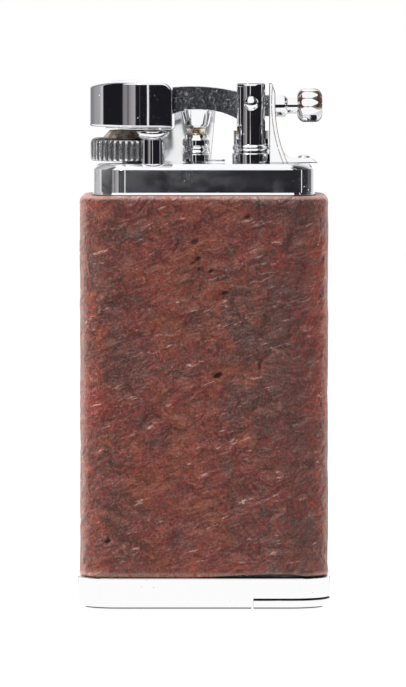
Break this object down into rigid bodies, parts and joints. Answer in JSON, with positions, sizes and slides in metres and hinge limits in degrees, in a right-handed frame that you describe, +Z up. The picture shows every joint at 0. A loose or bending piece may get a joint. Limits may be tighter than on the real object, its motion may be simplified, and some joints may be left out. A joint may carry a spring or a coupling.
{
  "type": "pipe lighter",
  "caption": "Upright gas lighter for pipes: wood sleeve on a chromed base, open head with a lifting snuffer arm, a knurled thumb wheel and a fluted knob, tamper in the base.",
  "frame": {"origin": "middle of the underside, on the surface that the lighter stands on", "axes": "+X to the side of the finger knob, +Y to the back, +Z up"},
  "size_m": [0.0332, 0.0188, 0.0698],
  "materials": {
    "rusticated_wood": "rusticated and waxed",
    "base_chrome": "polished",
    "head_chrome": "polished",
    "arm_steel": "satin",
    "striker_steel": "hardened, matt",
    "wheel_chrome": "knurled",
    "spring_steel": "bright wire",
    "brass": "turned",
    "rubber": "matt",
    "flint": "matt",
    "tank_metal": "drawn"
  },
  "bodies": {
    "case": {"wood_sleeve": "rusticated_wood", "base_plate": "base_chrome", "fuel_tank": "tank_metal", "head_plate": "head_chrome", "head_gasket": "rubber", "wheel_axle": "head_chrome", "burner_pillar": "head_chrome", "burner_cup": "head_chrome", "wind_guard": "head_chrome", "valve_body": "head_chrome", "valve_spring": "spring_steel", "valve_ring": "brass", "pivot_post": "head_chrome", "pivot_pin": "head_chrome", "side_bracket": "head_chrome", "bracket_screw": "spring_steel", "flint_tube": "brass", "flint": "flint", "flint_pusher": "brass", "flint_spring": "spring_steel", "flint_screw": "brass", "tamper_tube": "brass", "tamper_ring": "rubber", "filler_body": "brass", "filler_ring": "rubber"},
    "lever": {"lift_arm": "arm_steel", "snuffer_cap": "head_chrome", "snuffer_pad": "head_chrome", "valve_button": "head_chrome", "lever_shaft": "head_chrome", "finger_knob": "head_chrome"},
    "wheel": {"thumb_wheel": "wheel_chrome", "striker": "striker_steel"},
    "gas_stem": {"valve_stem": "spring_steel"},
    "adjuster": {"flame_adjuster": "head_chrome"},
    "tamper": {"tamper_head": "base_chrome", "tamper_rod": "head_chrome"},
    "refill_stem": {"filler_stem": "brass"}
  },
  "joints": [
    {"name": "lever_open", "type": "hinge", "parent": "case", "child": "lever", "pos_m": [0.0062, 0, 0.0665], "axis": [0, 1, 0], "range_deg": [0, 30]},
    {"name": "wheel_spin", "type": "hinge", "parent": "case", "child": "wheel", "pos_m": [-0.0102, 0, 0.0605], "axis": [0, 0, 1], "continuous": true},
    {"name": "valve_rise", "type": "slide", "parent": "case", "child": "gas_stem", "axis": [0, 0, 1], "range_m": [0, 0.0008], "stiffness_N_per_m": 0.01, "springref_m": 0.0957, "deforming": ["valve_spring"]},
    {"name": "flame_set", "type": "hinge", "parent": "case", "child": "adjuster", "pos_m": [-0.001, 0, 0.0593], "axis": [0, 0, 1], "range_deg": [-60, 60]},
    {"name": "tamper_draw", "type": "slide", "parent": "case", "child": "tamper", "axis": [0, 0, -1], "range_m": [0, 0.044]},
    {"name": "refill_press", "type": "slide", "parent": "case", "child": "refill_stem", "axis": [0, 0, 1], "range_m": [0, 0.0008], "stiffness_N_per_m": 200}
  ],
  "couplings": [
    {"joint": "valve_rise", "follows": "lever_open", "m_per_rad": 0.0015}
  ]
}
